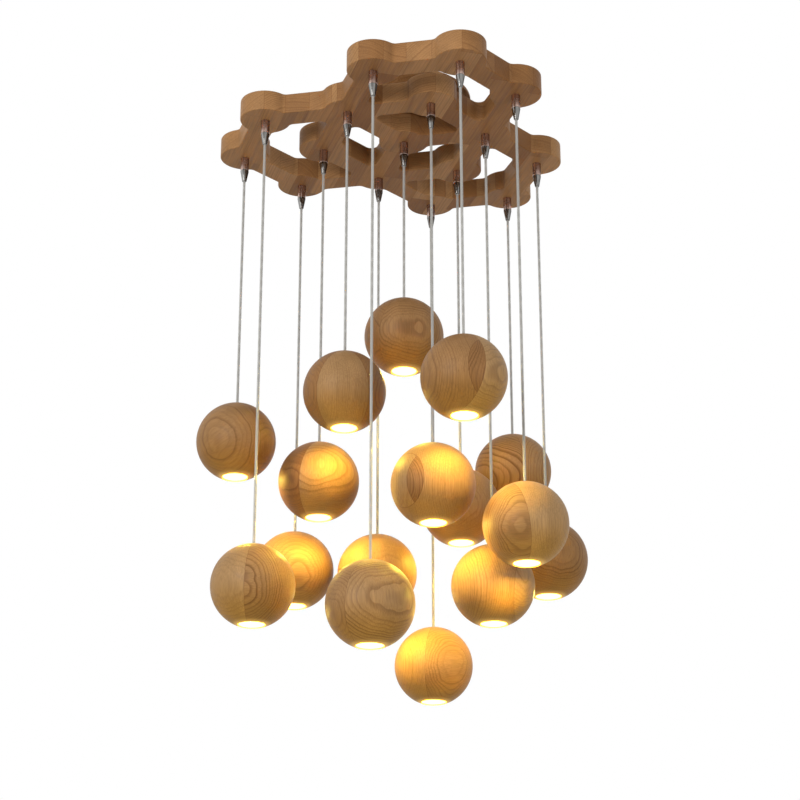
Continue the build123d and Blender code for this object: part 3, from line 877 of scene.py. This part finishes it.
class PENDANT_OT_wiring(bpy.types.Operator):
    """Lays the leads on top of the canopy, with their terminals and the ends of the cords"""

    bl_idname = "pendant.wiring"
    bl_label = "Wiring"

    def execute(self, context):
        sizes, colours = context.scene.pendant_sizes, context.scene.pendant_colours
        dress("wire_terminals", plain_finish("moulded_terminal", colours.terminal, 0.32, 0.5))
        mains, terminal, overlap = 0.015, 0.011, 0.003
        low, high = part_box("harness_leads")
        level = (low[2] + high[2]) / 2
        parts = []
        for first, second in LEADS:
            start, end = (Vector((*PENDANTS[n][0].xy, level)) for n in (first, second))
            run = (end - start).normalized()
            start = start + run * ((mains if first == LEADS[0][0] else terminal) - overlap)
            end = end - run * (terminal - overlap)
            parts.append(swept(route(start, end, 24), sizes.lead / 2, 24))
        sheath = plain_finish("lead_jacket", colours.sheath, 0.42, 0.6)
        piece("harness_sheaths", mesh_of("harness_sheaths", parts), [sheath], "canopy", "lead_sheath",
              "harness_leads")
        low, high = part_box("cord_tails")
        tails = []
        for flex, _ in PENDANTS.values():
            tails += cord_parts((flex.x, flex.y, low[2]), (flex.x, flex.y, high[2]), sizes)
        piece("cord_upper_ends", mesh_of("cord_upper_ends", tails), cord_finishes(colours), "canopy",
              "cord_clear", "cord_tails")
        return {"FINISHED"}


class PENDANT_OT_studio(bpy.types.Operator):
    """Sets the camera, the pale floor, the soft boxes and the white surround"""

    bl_idname = "pendant.studio"
    bl_label = "Studio"

    def execute(self, context):
        scene, studio = context.scene, context.scene.pendant_studio
        camera = bpy.data.cameras.new("camera")
        camera.lens = studio.lens
        camera.sensor_width = 36
        holder = bpy.data.objects.new("camera", camera)
        scene.collection.objects.link(holder)
        holder.location = studio.camera
        holder.rotation_euler = studio.aim
        scene.camera = holder
        middle, floor_level, floor_reach = Vector((0, 0, -0.44)), -2.4, 2.6
        for name, place, power in (
            ("key_box", (-1.0, -2.5, -0.19), studio.key), ("fill_box", (1.9, -1.5, -0.94), studio.fill),
        ):
            light = bpy.data.lights.new(name, "AREA")
            light.shape = "DISK"
            light.size = 1.4
            light.energy = power
            box = bpy.data.objects.new(name, light)
            scene.collection.objects.link(box)
            box.location = place
            box.rotation_euler = (middle - Vector(place)).to_track_quat("-Z", "Y").to_euler()
        world = bpy.data.worlds.new("surround")
        world.use_nodes = True
        scene.world = world
        tree = world.node_tree
        ray = add(tree, "ShaderNodeLightPath").outputs
        seen = sum_of(tree, "MAXIMUM", ray["Is Camera Ray"], ray["Is Glossy Ray"])
        seen = sum_of(tree, "MAXIMUM", seen, ray["Is Transmission Ray"])
        back = tree.nodes["Background"]
        back.inputs["Color"].default_value = (1, 1, 1, 1)
        tree.links.new(mixed(tree, "FLOAT", seen, studio.sky, 1.0), back.inputs["Strength"])
        disc = lathed([(0.02, 0), (floor_reach, 0)], 96, (0, 0, floor_level), closed=False)
        floor = mesh_of("floor", [disc])
        made = bpy.data.objects.new("floor", floor)
        scene.collection.objects.link(made)
        pale, tree, shader = finish_of("pale_floor", Roughness=0.8)
        cloud = noise_of(tree, add(tree, "ShaderNodeTexCoord").outputs["Object"], 3.0)
        hue = mixed(tree, "RGBA", cloud, (0.9, 0.9, 0.89, 1), (0.86, 0.86, 0.85, 1))
        tree.links.new(hue, shader.inputs["Base Color"])
        floor.materials.append(pale)
        scene.view_settings.view_transform = "Standard"
        return {"FINISHED"}


OPERATORS = (
    PENDANT_OT_studio, PENDANT_OT_cords, PENDANT_OT_balls, PENDANT_OT_lamps, PENDANT_OT_grips,
    PENDANT_OT_canopy, PENDANT_OT_fixings, PENDANT_OT_wiring,
)


class PENDANT_PT_pieces(bpy.types.Panel):
    """Lists the pieces of the pendant light"""

    bl_idname = "PENDANT_PT_pieces"
    bl_label = "Sphere Pendant Light"
    bl_space_type = "VIEW_3D"
    bl_region_type = "UI"
    bl_category = "Pendant"

    def draw(self, context):
        for operator in OPERATORS:
            self.layout.operator(operator.bl_idname)
        for label, held in (
            ("Sizes", context.scene.pendant_sizes),
            ("Colours", context.scene.pendant_colours),
            ("Studio", context.scene.pendant_studio),
        ):
            box = self.layout.box()
            box.label(text=label)
            for name in held.__annotations__:
                box.prop(held, name)


GROUPS = (PendantSizes, PendantColours, PendantStudio)


def register():
    for kind in GROUPS + OPERATORS + (PENDANT_PT_pieces,):
        bpy.utils.register_class(kind)
    bpy.types.Scene.pendant_sizes = PointerProperty(type=PendantSizes)
    bpy.types.Scene.pendant_colours = PointerProperty(type=PendantColours)
    bpy.types.Scene.pendant_studio = PointerProperty(type=PendantStudio)


def unregister():
    del bpy.types.Scene.pendant_studio
    del bpy.types.Scene.pendant_colours
    del bpy.types.Scene.pendant_sizes
    for kind in reversed(GROUPS + OPERATORS + (PENDANT_PT_pieces,)):
        bpy.utils.unregister_class(kind)


def main():
    register()
    bpy.ops.pendant.studio()
    bpy.ops.pendant.cords()
    bpy.ops.pendant.balls()
    bpy.ops.pendant.lamps()
    bpy.ops.pendant.grips()
    bpy.ops.pendant.canopy()
    bpy.ops.pendant.fixings()
    bpy.ops.pendant.wiring()


if __name__ == "__main__":
    main()
